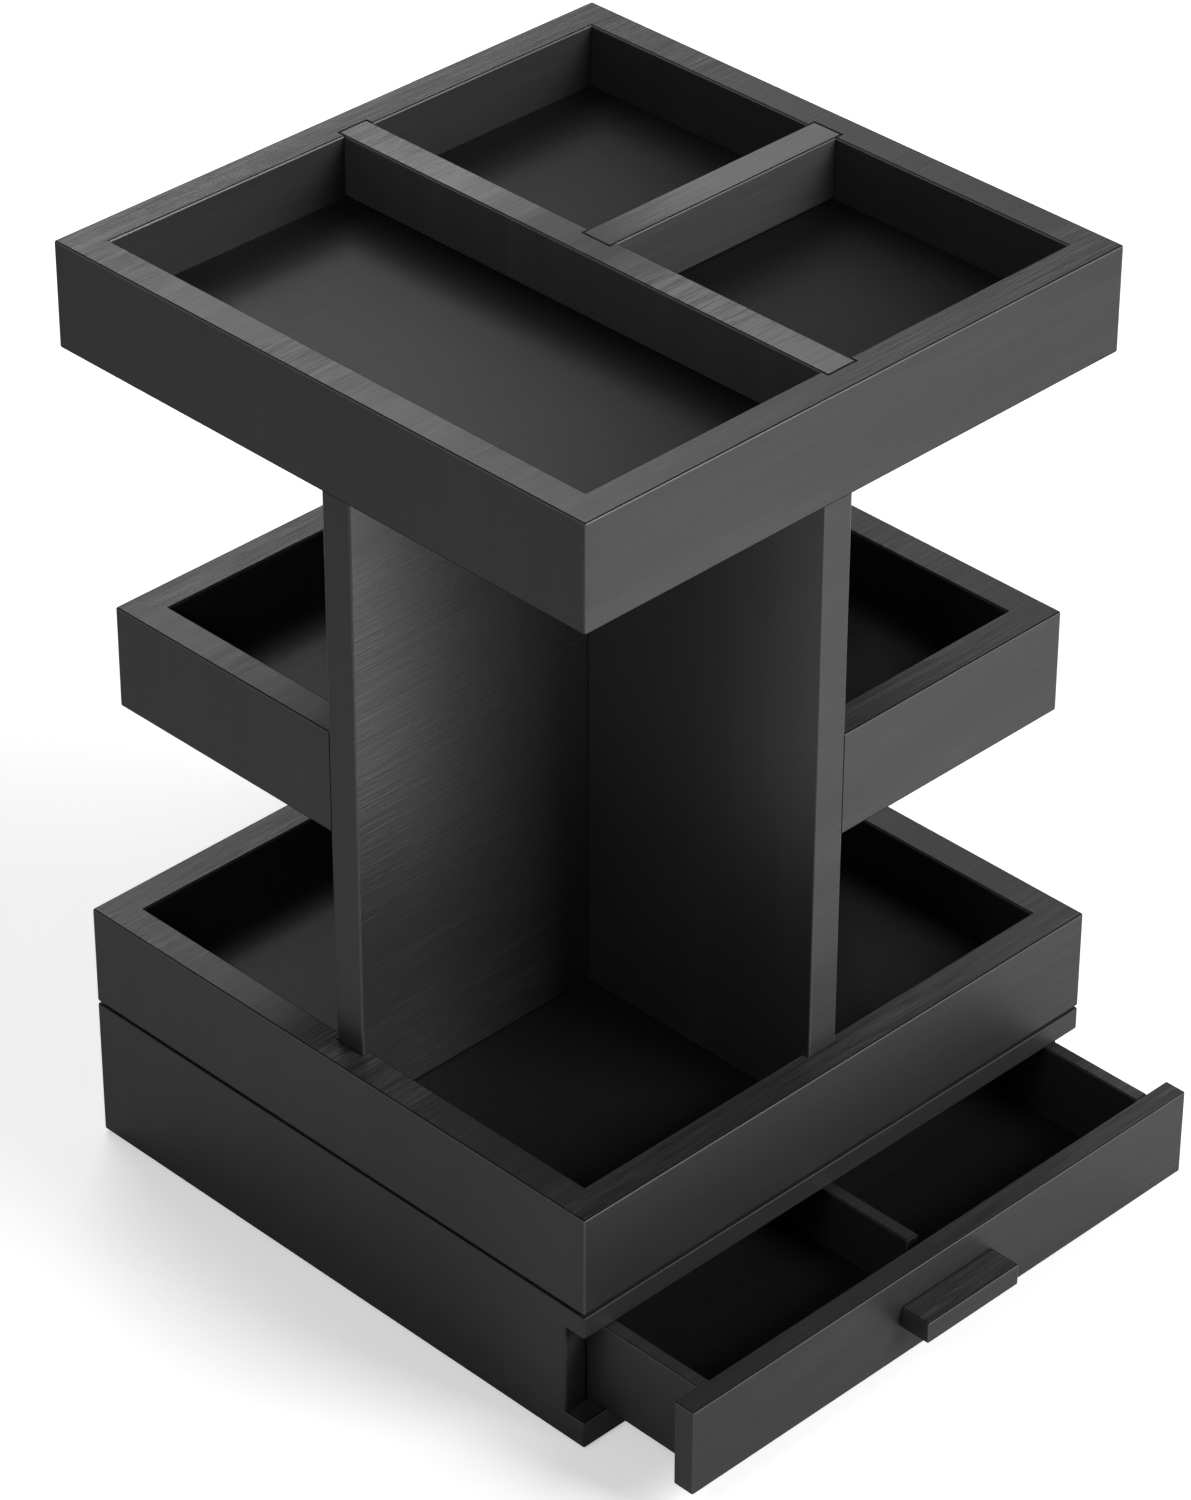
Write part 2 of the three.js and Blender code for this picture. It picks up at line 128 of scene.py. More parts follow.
# Wood: how often its streaks repeat in a metre along X, Y and Z, and its greys
fibre_scale = (60, 1400, 1400)
brushing_scale = (22, 450, 450)
brushed_area_scale = (9, 14, 14)
figure_scale = (5, 40, 40)
band_scale = (30, 60, 3)
streak_roughness = 0.62
facing_limit = 0.7
brushed_from = -0.06
brushed_to = 0.12
least_brushing = 0.25
brushed_lift = 0.04
upright_grain = 0.16
figure_share = 0.25
band_share = 0.2
# Distances from the tower's axis over which a painted sheen on level faces rises
sheen_lift_core = -0.01
sheen_lift_edge = 0.065
core_roughness = 0.35
roughness_swing = 0.1
tone_swing = 0.25
grain_bump = 0.8
grain_height = 0.26 * MM
wood_tones = ((0.25, 0.013), (0.5, 0.022), (0.8, 0.05), (1.0, 0.085))

# Other finishes
steel_tones = ((0.3, (0.5, 0.51, 0.52)), (0.7, (0.66, 0.67, 0.68)))
beech_tones = ((0.35, (0.55, 0.37, 0.2)), (0.65, (0.72, 0.54, 0.34)))
rubber_tones = ((0.0, 0.016), (1.0, 0.026))
scuff_scale = (400, 400, 400)
scuff_swing = 0.3
bare_roughness = 0.25
scuffed_roughness = 0.45
beech_roughness = 0.65
rubber_roughness = 0.8
pore_scale = (900, 900, 900)
pebble_scale = 900.0
pebble_bump = 0.5
pebble_height = 0.2 * MM

# Floor and backdrop
floor_size = 12
floor_drop = 0.1 * MM
floor_grey = (0.8, 0.8, 0.8, 1)
room_floor_grey = (0.3, 0.3, 0.3, 1)
white = (1, 1, 1, 1)
floor_glow = 0.5
far_floor_glow = 1.0
glow_start = 0.3
glow_end = 1.2
patch_place = (0.2, -0.44, 0)
patch_core = 0.1
patch_edge = 0.3
patch_glow = 1.0
room_fill = 0.1
overhead_white = 0.0
dimming_start = 0.15
dimming_end = 0.8

# Lamps: place, side and power
lamp_aim = (0, 0, 0.2)
front_lamp = ((0.45, -1.25, 0.85), 0.7, 22)
back_lamp = ((0.4, 0.9, 1.3), 0.8, 9)
left_lamp = ((-1.1, -0.3, 1.1), 0.6, 3.5)

# Camera, worked out from the photograph
camera_place = Vector((-1067.6, -1079.6, 1178.0)) * MM
camera_target = Vector((1.7, -1.7, 154.2)) * MM
camera_roll = math.radians(0.134)
camera_lens = 137.707
camera_sensor = 36.0
camera_near = 0.05
camera_far = 50


# Modelling

def take(piece):
    """Makes a piece the only one that is selected."""
    bpy.ops.object.select_all(action="DESELECT")
    piece.select_set(True)
    bpy.context.view_layer.objects.active = piece
    return piece


def edit(piece, mode="FACE"):
    """Opens a piece in edit mode with nothing selected, and gives its shape."""
    take(piece)
    bpy.ops.object.mode_set(mode="EDIT")
    bpy.ops.mesh.select_mode(type=mode)
    bpy.ops.mesh.select_all(action="DESELECT")
    return bmesh.from_edit_mesh(piece.data)


def close():
    """Leaves edit mode."""
    bpy.ops.object.mode_set(mode="OBJECT")


def snap(piece):
    """Rounds a piece's corners to the micrometre, so that faces that touch are in one plane."""
    for vertex in piece.data.vertices:
        vertex.co = [round(value, snap_digits) for value in vertex.co]
    return piece


def block(low, high):
    """A box between two corners, its place in its mesh."""
    bpy.ops.object.select_all(action="DESELECT")
    low = Vector(low)
    high = Vector(high)
    bpy.ops.mesh.primitive_cube_add(size=1, location=(low + high) / 2)
    piece = bpy.context.object
    piece.scale = high - low
    bpy.ops.object.transform_apply(location=True, rotation=False, scale=True)
    return snap(piece)


def linked(name, mesh):
    """A new object in the scene with this mesh."""
    piece = bpy.data.objects.new(name, mesh)
    bpy.context.scene.collection.objects.link(piece)
    return piece


def merged_copy(node):
    """A copy of a CAD node's mesh, its loose triangles merged into whole faces."""
    piece = linked(node + "_copy", frame["nodes"][node].data.copy())
    piece.data.materials.clear()
    snap(piece)
    edit(piece, "VERT")
    bpy.ops.mesh.select_all(action="SELECT")
    bpy.ops.mesh.remove_doubles(threshold=merge_distance)
    bpy.ops.mesh.dissolve_limited(angle_limit=flat_angle)
    close()
    return piece


def combine(piece, other, operation):
    """Applies a boolean of two pieces to the first, and deletes the second."""
    take(piece)
    boolean = piece.modifiers.new("boolean", "BOOLEAN")
    boolean.operation = operation
    boolean.solver = "EXACT"
    boolean.object = other
    bpy.ops.object.modifier_apply(modifier=boolean.name)
    bpy.data.objects.remove(other)
    return piece


def box_of(nodes):
    """Lowest and highest corner of several CAD nodes together."""
    boxes = [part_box(node) for node in nodes]
    low = [min(box[0][axis] for box in boxes) for axis in range(3)]
    high = [max(box[1][axis] for box in boxes) for axis in range(3)]
    return Vector(low), Vector(high)


def ease_edges(piece, arris, kept=lambda edge: False):
    """Takes the sharp outside edges off a piece, but not those that are kept."""
    shape = edit(piece, "EDGE")
    for edge in shape.edges:
        outside = edge.is_convex and edge.calc_face_angle(0) > sharp_angle
        edge.select_set(outside and not kept(edge))
    bmesh.update_edit_mesh(piece.data)
    bpy.ops.mesh.bevel(offset=arris, offset_type="OFFSET", segments=arris_facets, profile=0.5,
                       affect="EDGES", material=shadow_slot, loop_slide=False)
    close()
    for face in piece.data.polygons:
        face.use_smooth = False
    return piece


def stand_for(piece, node):
    """Puts a piece in a CAD node's place, on its body."""
    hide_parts(node)
    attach(piece, frame["nodes"][node]["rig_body"])
    return piece


def mark_facets(piece, painted_highlight):
    """An arris's facet beside a level face, or on its underside, gets the shadow finish.

    Its other facet gets the highlight finish, a paler copy of the wood that paints a highlight line, or that
    of the faces where no highlight is painted.
    """
    for face in piece.data.polygons:
        if face.material_index == face_slot:
            continue
        if abs(face.normal.z) > arris_level_lean or face.normal.z < -arris_under_lean:
            face.material_index = shadow_slot
        else:
            face.material_index = highlight_slot if painted_highlight else face_slot


def finish_board(node, envelope, painted_highlight=True):
    """One board: what its eased envelope and the CAD node share, with the node's holes and housings."""
    piece = linked(node + "_board", envelope.data.copy())
    combine(piece, merged_copy(node), "INTERSECT")
    mark_facets(piece, painted_highlight)
    return stand_for(piece, node)


def wooden(piece, face=None):
    """Gives a piece the finishes of its faces and of its arrises, in the order of the slots."""
    for finish in (face or black_wood, arris_shadow, arris_highlight):
        piece.data.materials.append(finish)
    return piece


def smooth_rounds(piece):
    """Shades round surfaces smooth and leaves sharp edges sharp."""
    take(piece)
    bpy.ops.object.shade_smooth_by_angle(angle=smooth_angle)
    return piece


# Shader nodes

def new_material(name):
    """An empty material and its node tree."""
    finish = bpy.data.materials.new(name)
    finish.use_nodes = True
    finish.node_tree.nodes.clear()
    return finish, finish.node_tree


def add(tree, kind, inputs=None, **settings):
    """A shader node, with its settings and the values or links of its inputs."""
    made = tree.nodes.new(kind)
    for key, value in settings.items():
        setattr(made, key, value)
    for key, value in (inputs or {}).items():
        if isinstance(value, bpy.types.NodeSocket):
            tree.links.new(value, made.inputs[key])
        else:
            made.inputs[key].default_value = value
    return made


def math_node(tree, operation, first, second=0.0, third=0.0):
    """The result of a Math node."""
    return add(tree, "ShaderNodeMath", {0: first, 1: second, 2: third}, operation=operation).outputs[0]


def remap(tree, value, from_min, from_max, to_min, to_max):
    """A value moved from one range to another."""
    ranges = {"Value": value, "From Min": from_min, "From Max": from_max, "To Min": to_min, "To Max": to_max}
    return add(tree, "ShaderNodeMapRange", ranges).outputs[0]


def eased_step(tree, value, low, high):
    """0 below the lower limit, 1 above the higher one, and a soft rise between them."""
    ranges = {"Value": value, "From Min": low, "From Max": high}
    return add(tree, "ShaderNodeMapRange", ranges, interpolation_type="SMOOTHSTEP").outputs[0]


def distance_from(tree, place, centre=(0, 0, 0)):
    """How far a point is from a centre."""
    shift = add(tree, "ShaderNodeVectorMath", {0: place, 1: centre}, operation="SUBTRACT").outputs[0]
    return add(tree, "ShaderNodeVectorMath", {0: shift}, operation="LENGTH").outputs["Value"]


def ramp(tree, factor, stops):
    """A colour ramp with stops of place and of grey or colour."""
    made = add(tree, "ShaderNodeValToRGB", {"Fac": factor})
    elements = made.color_ramp.elements
    while len(elements) < len(stops):
        elements.new(0.5)
    for element, (place, colour) in zip(elements, stops):
        element.position = place
        element.color = (*colour, 1) if isinstance(colour, tuple) else (colour, colour, colour, 1)
    return made.outputs["Color"]


def streaks(tree, place, scale, detail):
    """Noise drawn out along the grain, about zero."""
    mapped = add(tree, "ShaderNodeMapping", {"Vector": place, "Scale": scale})
    settings = {"Vector": mapped.outputs[0], "Scale": 1.0, "Detail": detail, "Roughness": streak_roughness}
    noise = add(tree, "ShaderNodeTexNoise", settings)
    return math_node(tree, "SUBTRACT", noise.outputs["Fac"], 0.5)


def object_place(tree):
    """The place on the object."""
    return add(tree, "ShaderNodeTexCoord").outputs["Object"]


def finish_surface(tree, inputs):
    """Ends a material in a Principled shader with these inputs."""
    shader = add(tree, "ShaderNodeBsdfPrincipled", inputs)
    add(tree, "ShaderNodeOutputMaterial", {"Surface": shader.outputs[0]})


# Materials

def wood_finish(name, lightness=1.0, roughness=0.42, gloss=0.4, grain_depth=1.0, sheen_lift=0.0):
    """Black stain under a satin lacquer, with brushed grain on level faces and faint figure on others.

    A board with a sheen lift has level faces that are more brushed away from the tower's axis, and paler
    there: a painted sheen.
    """
    finish, tree = new_material(name)
    where = add(tree, "ShaderNodeTexCoord")
    place = where.outputs["Object"]
    facing = add(tree, "ShaderNodeSeparateXYZ", {0: where.outputs["Normal"]})
    along = math_node(tree, "LESS_THAN", math_node(tree, "ABSOLUTE", facing.outputs["X"]), facing_limit)
    level = math_node(tree, "GREATER_THAN", math_node(tree, "ABSOLUTE", facing.outputs["Z"]), facing_limit)
    ends = level
    # Level faces away from the tower's axis, where a sheen lift paints a paler sheen and the brushing is
    # stronger
    if sheen_lift:
        flat = add(tree, "ShaderNodeMapping", {"Vector": place, "Scale": (1, 1, 0)}).outputs[0]
        away = distance_from(tree, flat)
        ends = math_node(tree, "MULTIPLY", level, eased_step(tree, away, sheen_lift_core, sheen_lift_edge))

    fibres = streaks(tree, place, fibre_scale, 3)
    brushing = streaks(tree, place, brushing_scale, 3)
    brushed = eased_step(tree, streaks(tree, place, brushed_area_scale, 1), brushed_from, brushed_to)
    brushed = math_node(tree, "MULTIPLY_ADD", brushed, 1 - least_brushing, least_brushing)
    strength = math_node(tree, "MULTIPLY", ends, brushed)
    strength = math_node(tree, "MAXIMUM", strength, math_node(tree, "MULTIPLY", along, upright_grain))
    strength = math_node(tree, "MULTIPLY", strength, grain_depth)
    grain = math_node(tree, "MULTIPLY", math_node(tree, "ADD", fibres, brushing), strength)

    figure = math_node(tree, "MULTIPLY", streaks(tree, place, figure_scale, 2), figure_share * grain_depth)
    bands = math_node(tree, "MULTIPLY", streaks(tree, place, band_scale, 2), band_share * grain_depth)
    cloud = add(tree, "ShaderNodeMix", {0: along, 2: bands, 3: figure}, data_type="FLOAT").outputs[0]
    tone = math_node(tree, "ADD", math_node(tree, "ADD", grain, cloud),
                     math_node(tree, "MULTIPLY", strength, brushed_lift))

    # A sheen lift makes those level faces paler: a painted sheen
    shade = math_node(tree, "ADD", math_node(tree, "MULTIPLY_ADD", ends, sheen_lift, 0.5), tone)
    colour = ramp(tree, shade, [(stop, grey * lightness) for stop, grey in wood_tones])
    rough = remap(tree, tone, -tone_swing, tone_swing,
                  roughness + roughness_swing, roughness - roughness_swing)
    if sheen_lift:
        core = math_node(tree, "MULTIPLY_ADD", ends, -core_roughness, core_roughness)
        rough = math_node(tree, "ADD", rough, core)
    bump = add(tree, "ShaderNodeBump", {"Height": grain, "Strength": grain_bump, "Distance": grain_height})
    finish_surface(tree, {"Base Color": colour, "Roughness": rough, "Normal": bump.outputs[0],
                          "Specular IOR Level": gloss})
    return finish


def steel_finish():
    """Plated steel, a little scuffed."""
    finish, tree = new_material("steel")
    scuffs = streaks(tree, object_place(tree), scuff_scale, 5)
    rough = remap(tree, scuffs, -scuff_swing, scuff_swing, bare_roughness, scuffed_roughness)
    colour = ramp(tree, math_node(tree, "ADD", scuffs, 0.5), steel_tones)
    finish_surface(tree, {"Base Color": colour, "Metallic": 1.0, "Roughness": rough})
    return finish


def beech_finish():
    """Bare beech with its fine pores."""
    finish, tree = new_material("beech")
    pores = streaks(tree, object_place(tree), pore_scale, 3)
    colour = ramp(tree, math_node(tree, "ADD", pores, 0.5), beech_tones)
    finish_surface(tree, {"Base Color": colour, "Roughness": beech_roughness})
    return finish


def rubber_finish():
    """Matt rubber with a pebbled face."""
    finish, tree = new_material("rubber")
    grid = {"Vector": object_place(tree), "Scale": pebble_scale}
    pebbles = add(tree, "ShaderNodeTexVoronoi", grid).outputs["Distance"]
    colour = ramp(tree, pebbles, rubber_tones)
    bump = add(tree, "ShaderNodeBump",
               {"Height": pebbles, "Strength": pebble_bump, "Distance": pebble_height})
    finish_surface(tree, {"Base Color": colour, "Roughness": rubber_roughness,
                          "Normal": bump.outputs[0]})
    return finish


black_wood = wood_finish("black_wood")
# The dividers' tops are paler away from the tower's axis: a painted sheen
divider_black = wood_finish("divider_black", roughness=0.4, gloss=0.6, grain_depth=1.6, sheen_lift=0.5)
# The panels are glossier than the rims, and their stain is a little darker: a painted shade
panel_black = wood_finish("panel_black", lightness=0.8, roughness=0.33, gloss=1.0, grain_depth=2.3)
# Darker and paler copies of the wood for the two facets of each arris: a painted shadow line and a painted
# highlight line
arris_shadow = wood_finish("arris_shadow", lightness=0.25, roughness=0.75, gloss=0.1)
arris_highlight = wood_finish("arris_highlight", lightness=2.4, roughness=0.35, gloss=0.55)
# A smoother copy of the wood for the floors of the trays and the drawer, at half the lightness: a painted
# shade of these recesses
shaded_smooth_black = wood_finish("shaded_smooth_black", lightness=0.5, roughness=0.33, gloss=0.1, grain_depth=0.2)
steel = steel_finish()
beech = beech_finish()
rubber = rubber_finish()


# Boards

def full_tray_rims(tray):
    """Four rims: a block is inset above and below, opened between the two, eased, and parted into boards."""
    rims = [f"{tray}_{side}_rim" for side in ("front", "back", "left", "right")]
    low, high = box_of(rims)
    floor_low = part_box(f"{tray}_floor")[0]
    ring = wooden(block(low, high))
    shape = edit(ring)
    for face in shape.faces:
        face.select_set(abs(face.normal.z) > level_lean)
    bmesh.update_edit_mesh(ring.data)
    bpy.ops.mesh.inset(thickness=floor_low.x - low.x)
    bpy.ops.mesh.bridge_edge_loops()
    close()
    ease_edges(snap(ring), board_arris)
    for rim in rims:
        finish_board(rim, ring)
    bpy.data.objects.remove(ring)


def mid_tray_rims(tray, sides):
    """Two rims in an L, whose ends stand against the panels and stay sharp."""
    rims = [f"{tray}_{side}_rim" for side in sides]
    low, high = box_of(rims)
    floor_low, floor_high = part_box(f"{tray}_floor")
    open_low = Vector(floor_low)
    open_high = Vector(floor_high)
    for axis in range(2):
        if abs(floor_low[axis] - low[axis]) < flush_gap:
            open_low[axis] -= overrun
        if abs(floor_high[axis] - high[axis]) < flush_gap:
            open_high[axis] += overrun
    open_low.z = low.z - overrun
    open_high.z = high.z + overrun
    corner = wooden(block(low, high))
    combine(corner, block(open_low, open_high), "DIFFERENCE")

    def against_panel(edge):
        for axis in range(2):
            for limit, inner in ((low, floor_low), (high, floor_high)):
                flush = abs(limit[axis] - inner[axis]) < flush_gap
                if flush and all(abs(vertex.co[axis] - limit[axis]) < on_face for vertex in edge.verts):
                    return True
        return False

    ease_edges(snap(corner), board_arris, against_panel)
    for rim in rims:
        finish_board(rim, corner)
    bpy.data.objects.remove(corner)


def single_board(node, arris, face=None):
    """A board with all its edges eased."""
    envelope = wooden(block(*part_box(node)), face)
    ease_edges(envelope, arris)
    piece = finish_board(node, envelope)
    bpy.data.objects.remove(envelope)
    return piece


def cross_panel(node, along):
    """A glossy panel whose stain is a little darker than the rims', a painted shade, and whose two ends,
    square to its run, have the plain finish of the rims.
    """
    piece = single_board(node, board_arris, panel_black)
    piece.data.materials.append(black_wood)
    for face in piece.data.polygons:
        if face.material_index == face_slot and abs(face.normal[along]) > end_lean:
            face.material_index = end_slot


def base_boards():
    """The carcass is opened for the drawer and its front, eased, and parted into boards."""
    parts = ("bottom_panel", "left_side", "right_side", "back_panel", "top_panel")
    boards = [f"base_{part}" for part in parts]
    low, high = box_of(boards)
    left_low, left_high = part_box("base_left_side")
    right_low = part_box("base_right_side")[0]
    back_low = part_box("base_back_panel")[0]
    carcass = wooden(block(low, high))
    recess_low = (low.x - overrun, low.y - overrun, left_low.z)
    recess_high = (high.x + overrun, left_low.y, left_high.z)
    combine(carcass, block(recess_low, recess_high), "DIFFERENCE")
    bay_low = (left_high.x, left_low.y - overrun, left_low.z)
    bay_high = (right_low.x, back_low.y, left_high.z)
    combine(carcass, block(bay_low, bay_high), "DIFFERENCE")
    ease_edges(snap(carcass), board_arris)
    # The base's arrises keep the painted shadow line but get no painted highlight
    for board in boards:
        finish_board(board, carcass, painted_highlight=False)
    bpy.data.objects.remove(carcass)


def make_boards():
    """All boards of the tower, the base and the drawer."""
    full_tray_rims("lower_tray")
    full_tray_rims("top_tray")
    mid_tray_rims("mid_tray_left", ("back", "side"))
    mid_tray_rims("mid_tray_right", ("front", "side"))
    # Tray floors get the smoother finish whose darkness is painted shade
    for tray in ("lower_tray", "top_tray", "mid_tray_left", "mid_tray_right"):
        single_board(f"{tray}_floor", board_arris, shaded_smooth_black)
    cross_panel("cross_panel_x", along=0)
    cross_panel("cross_panel_y", along=1)
    for divider in ("long_divider", "short_divider"):
        single_board(divider, board_arris, divider_black)
    base_boards()
    for part in ("front", "left_side", "right_side", "back", "divider", "pull"):
        single_board(f"drawer_{part}", drawer_arris)
    # The drawer's bottom gets the same smoother finish, darkened as painted shade
    single_board("drawer_bottom", drawer_arris, shaded_smooth_black)


# Screws

def turned(rings, sides=screw_sides):
    """A turned shape about Z: a disc is extruded and resized to each ring of radius and height in turn."""
    bpy.ops.object.select_all(action="DESELECT")
    radius, height = rings[0]
    bpy.ops.mesh.primitive_circle_add(vertices=sides, radius=radius, fill_type="NGON",
                                      location=(0, 0, height))
    piece = bpy.context.object
    bpy.ops.object.transform_apply(location=True, rotation=False, scale=False)
    edit(piece)
    bpy.ops.mesh.select_all(action="SELECT")
    for next_radius, next_height in rings[1:]:
        bpy.ops.mesh.extrude_region_move(TRANSFORM_OT_translate={"value": (0, 0, next_height - height)})
        bpy.ops.transform.resize(value=(next_radius / radius,) * 3)
        radius = next_radius
        height = next_height
    bpy.ops.mesh.select_all(action="SELECT")
    bpy.ops.mesh.normals_make_consistent(inside=False)
    close()
    return piece


def thread(root, crest, low, high, pitch):
    """A V-shaped ridge wound about Z, its foot inside the shank."""
    depth = crest - root
    bpy.ops.object.select_all(action="DESELECT")
    bpy.ops.mesh.primitive_circle_add(vertices=3, radius=depth, location=(0, 0, 0), fill_type="NOTHING")
    piece = bpy.context.object
    foot = root - thread_foot_depth * depth
    ridge = ((crest, 0), (foot, thread_half_width), (foot, -thread_half_width))
    for vertex, (across, up) in zip(piece.data.vertices, ridge):
        vertex.co = (across, 0, low + up * pitch)
    winding = piece.modifiers.new("winding", "SCREW")
    winding.screw_offset = pitch
    winding.iterations = round((high - low) / pitch)
    winding.steps = thread_steps
    winding.render_steps = thread_steps
    winding.use_merge_vertices = False
    bpy.ops.object.modifier_apply(modifier=winding.name)
    edit(piece, "EDGE")
    bpy.ops.mesh.select_non_manifold(extend=False)
    bpy.ops.mesh.fill_holes(sides=3)
    bpy.ops.mesh.select_all(action="SELECT")
    bpy.ops.mesh.normals_make_consistent(inside=False)
    close()
    return piece


def cross_arm(half_x, half_y, narrow_x, narrow_y, mouth, depth):
    """One arm of a cross recess, narrower at its foot."""
    arm = block((-half_x, -half_y, mouth - cut_overrun), (half_x, half_y, mouth + depth))
    shape = edit(arm)
    for face in shape.faces:
        face.select_set(face.normal.z > level_lean)
    bmesh.update_edit_mesh(arm.data)
    bpy.ops.transform.resize(value=(narrow_x, narrow_y, 1))
    close()
    return arm


def cross_recess(mouth, reach, depth):
    """A tapered cross, for cutting into a head whose face is at height mouth."""
    arm_x = cross_arm(reach, cross_width, cross_foot_length, cross_foot_width, mouth, depth)
    arm_y = cross_arm(cross_width, reach, cross_foot_width, cross_foot_length, mouth, depth)
    return combine(arm_x, arm_y, "UNION")


def screw_pattern(rings, thread_span, recess):
    """One screw with its head at the origin, driven along Z."""
    screw = turned([(radius * MM, height * MM) for radius, height in rings])
    combine(screw, thread(*[value * MM for value in thread_span]), "UNION")
    combine(screw, cross_recess(*[value * MM for value in recess]), "DIFFERENCE")
    return smooth_rounds(screw)


def plate_screw(length):
    """A short screw whose rounded head stands on a turntable plate."""
    rings = [(2.3, -plate_head), (2.8, -1.3), (3.0, -0.8), (3.0, 0),
             (1.05, 0), (1.05, length), (0.7, length)]
    thread_span = (1.05, 1.5, 0.6, length - 0.6, 0.75)
    recess = (-plate_head, 1.5, 1.1)
    return rings, thread_span, recess


def drive_screws(pattern, nodes, direction, head_height=0.0):
    """Copies of a screw at CAD nodes. Its pattern's zero is one head height in from the node's head end."""
    direction = Vector(direction)
    turn = direction.to_track_quat("Z", "Y").to_matrix().to_4x4()
    for node in nodes:
        low, high = (Vector(corner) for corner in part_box(node))
        half_length = abs((high - low).dot(direction)) / 2
        start = (low + high) / 2 - direction * (half_length - head_height)
        piece = linked(node + "_threaded", pattern.data.copy())
        piece.data.transform(Matrix.Translation(start) @ turn)
        piece.data.materials.append(steel)
        stand_for(piece, node)
    bpy.data.objects.remove(pattern)


def make_screws():
    """Screws that hold the panels, the pull and the turntable's plates."""
    up = (0, 0, 1)
    down = (0, 0, -1)
    for place, direction in (("lower", up), ("top", down)):
        names = [f"{place}_panel_screw_{side}" for side in ("left", "right", "front", "back")]
        nodes = [name for name in names if name in frame["nodes"]]
        drive_screws(screw_pattern(*panel_screw), nodes, direction)
    drive_screws(screw_pattern(*pull_screw), ["pull_screw_left", "pull_screw_right"], (0, -1, 0))
    plates = (("lower", down, lower_plate_screw_length), ("upper", up, upper_plate_screw_length))
    corners = ("front_left", "front_right", "back_left", "back_right")
    for place, direction, length in plates:
        nodes = [f"{place}_plate_screw_{corner}" for corner in corners]
        drive_screws(screw_pattern(*plate_screw(length)), nodes, direction, plate_head * MM)


# Ball cage

def make_ball_ring():
    """Balls in the pockets of a flat ring, all one piece as the CAD node is."""
    low, high = (Vector(corner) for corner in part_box("ball_cage"))
    radius = (high.z - low.z) / 2
    level = (low.z + high.z) / 2
    under = level - cage_thickness / 2
    over = level + cage_thickness / 2
    cut_under = under - cut_overrun
    cut_over = over + cut_overrun
    bore = high.x - cage_width
    ring = turned([(high.x, under), (high.x, over)], cage_sides)
    combine(ring, turned([(bore, cut_under), (bore, cut_over)], cage_sides), "DIFFERENCE")
    balls = []
    for count in range(ball_count):
        angle = 2 * math.pi * count / ball_count
        place = Vector((math.cos(angle), math.sin(angle), 0)) * (high.x - cage_width / 2)
        opening = radius + pocket_gap
        pocket = turned([(opening, cut_under), (opening, cut_over)], pocket_sides)
        pocket.data.transform(Matrix.Translation(place))
        combine(ring, pocket, "DIFFERENCE")
        bpy.ops.object.select_all(action="DESELECT")
        bpy.ops.mesh.primitive_uv_sphere_add(segments=ball_segments, ring_count=ball_rings, radius=radius,
                                             location=place + Vector((0, 0, level)))
        bpy.ops.object.transform_apply(location=True, rotation=False, scale=False)
        balls.append(bpy.context.object)
    take(ring)
    for ball in balls:
        ball.select_set(True)
    bpy.ops.object.join()
    smooth_rounds(ring)
    ring.name = "ball_ring"
    ring.data.materials.append(steel)
    stand_for(ring, "ball_cage")


# CAD nodes that stay

def finish_for(node):
    """The finish of a CAD node that keeps its shape."""
    if "dowel" in node:
        return beech
    if node == "grip_sheet":
        return rubber
    return steel


def finish_cad_nodes():
    """Gives every CAD node that isn't replaced its finish."""
    for node, piece in frame["nodes"].items():
        if not piece.hide_render:
            piece.data.materials.clear()
            piece.data.materials.append(finish_for(node))


# Stage

def seen_rays(tree):
    """1 for the rays of the camera, of mirrors and of clear things, which see the pale background."""
    rays = add(tree, "ShaderNodeLightPath").outputs
    mirrored = math_node(tree, "MAXIMUM", rays["Is Glossy Ray"], rays["Is Transmission Ray"])
    return math_node(tree, "MAXIMUM", rays["Is Camera Ray"], mirrored)


def mirrored_patch(tree):
    """The glow of a soft white patch of the floor at the front right, which only reflections see."""
    away = distance_from(tree, object_place(tree), patch_place)
    outside = eased_step(tree, away, patch_core, patch_edge)
    glow = math_node(tree, "MULTIPLY_ADD", outside, -patch_glow, patch_glow)
    return math_node(tree, "MULTIPLY", add(tree, "ShaderNodeLightPath").outputs["Is Glossy Ray"], glow)


def make_floor():
    """A pale floor that keeps the shadow near the object and is white far off."""
    bpy.ops.object.select_all(action="DESELECT")
    bpy.ops.mesh.primitive_plane_add(size=floor_size, location=(0, 0, -floor_drop))
    floor = bpy.context.object
    floor.name = "floor"
    finish, tree = new_material("floor")
    away = distance_from(tree, object_place(tree))
    seen_glow = remap(tree, away, glow_start, glow_end, floor_glow, far_floor_glow)
    camera_ray = add(tree, "ShaderNodeLightPath").outputs["Is Camera Ray"]
    strength = math_node(tree, "MULTIPLY_ADD", camera_ray, seen_glow, mirrored_patch(tree))
    glow = add(tree, "ShaderNodeEmission", {"Color": white, "Strength": strength})
    bright = add(tree, "ShaderNodeBsdfDiffuse", {"Color": floor_grey})
    pale = add(tree, "ShaderNodeAddShader", {0: bright.outputs[0], 1: glow.outputs[0]})
    plain = add(tree, "ShaderNodeBsdfDiffuse", {"Color": room_floor_grey})
    choice = {0: seen_rays(tree), 1: plain.outputs[0], 2: pale.outputs[0]}
    mixed = add(tree, "ShaderNodeMixShader", choice)
    add(tree, "ShaderNodeOutputMaterial", {"Surface": mixed.outputs[0]})
    finish.cycles.emission_sampling = "NONE"
    floor.data.materials.append(finish)


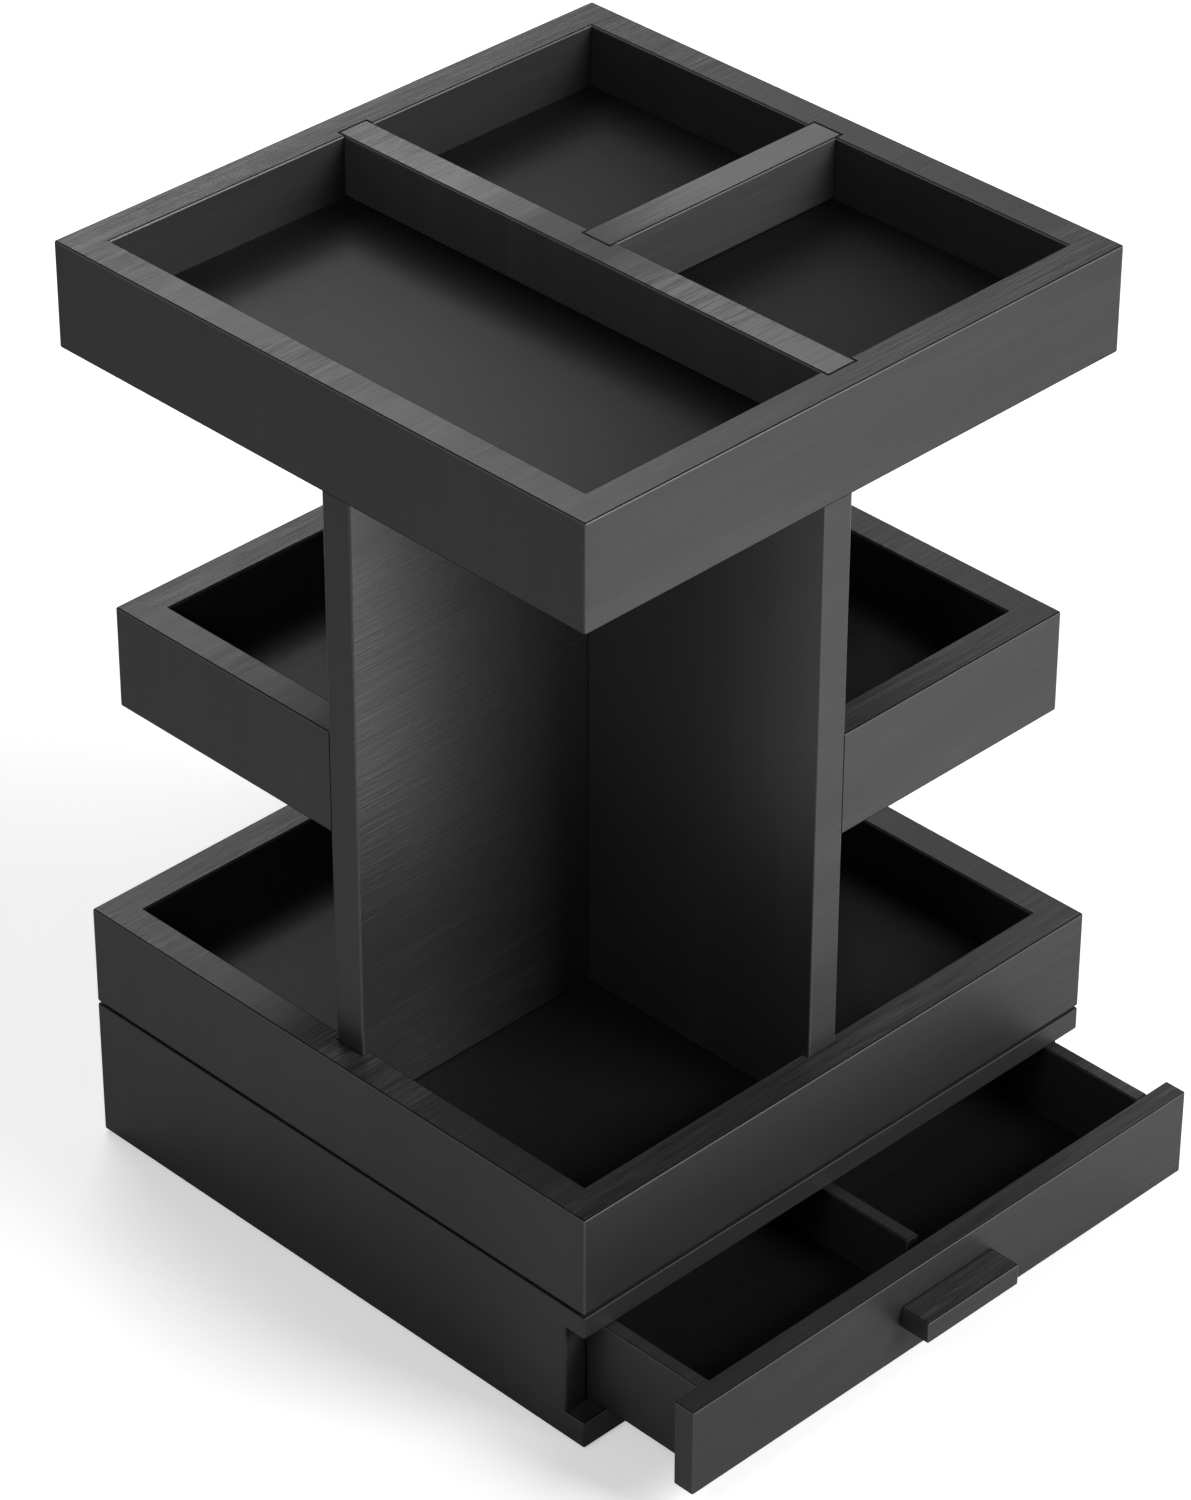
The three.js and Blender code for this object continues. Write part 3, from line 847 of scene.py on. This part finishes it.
def make_world():
    """A white backdrop to the camera. Mirrors see it white low down and dim overhead."""
    world = bpy.data.worlds.new("studio")
    bpy.context.scene.world = world
    world.use_nodes = True
    tree = world.node_tree
    tree.nodes.clear()
    direction = add(tree, "ShaderNodeTexCoord").outputs["Generated"]
    upwards = add(tree, "ShaderNodeSeparateXYZ", {0: direction}).outputs["Z"]
    dimming = remap(tree, upwards, dimming_start, dimming_end, 1.0, overhead_white)
    camera_ray = add(tree, "ShaderNodeLightPath").outputs["Is Camera Ray"]
    shown = math_node(tree, "MAXIMUM", camera_ray, dimming)
    fill = add(tree, "ShaderNodeBackground", {"Color": white, "Strength": room_fill})
    backdrop = add(tree, "ShaderNodeBackground", {"Color": white, "Strength": shown})
    choice = {0: seen_rays(tree), 1: fill.outputs[0], 2: backdrop.outputs[0]}
    mixed = add(tree, "ShaderNodeMixShader", choice)
    add(tree, "ShaderNodeOutputWorld", {"Surface": mixed.outputs[0]})


def softbox(name, place, side, power):
    """A square lamp aimed at the middle of the tower."""
    lamp = bpy.data.lights.new(name, "AREA")
    lamp.shape = "RECTANGLE"
    lamp.size = side
    lamp.size_y = side
    lamp.energy = power
    light = linked(name, lamp)
    light.location = place
    light.rotation_mode = "QUATERNION"
    light.rotation_quaternion = (Vector(lamp_aim) - Vector(place)).to_track_quat("-Z", "Y")


def make_camera():
    """The camera at the photograph's place, with its lens."""
    lens = bpy.data.cameras.new("camera")
    lens.lens = camera_lens
    lens.sensor_width = camera_sensor
    lens.sensor_fit = "AUTO"
    lens.clip_start = camera_near
    lens.clip_end = camera_far
    camera = linked("camera", lens)
    aim = (camera_target - camera_place).to_track_quat("-Z", "Y").to_matrix().to_4x4()
    camera.matrix_world = Matrix.Translation(camera_place) @ aim @ Matrix.Rotation(camera_roll, 4, "Z")
    bpy.context.scene.camera = camera


make_boards()
make_screws()
make_ball_ring()
finish_cad_nodes()
make_floor()
make_world()
softbox("front_softbox", *front_lamp)
softbox("back_softbox", *back_lamp)
softbox("left_softbox", *left_lamp)
make_camera()
bpy.context.scene.view_settings.view_transform = "Standard"
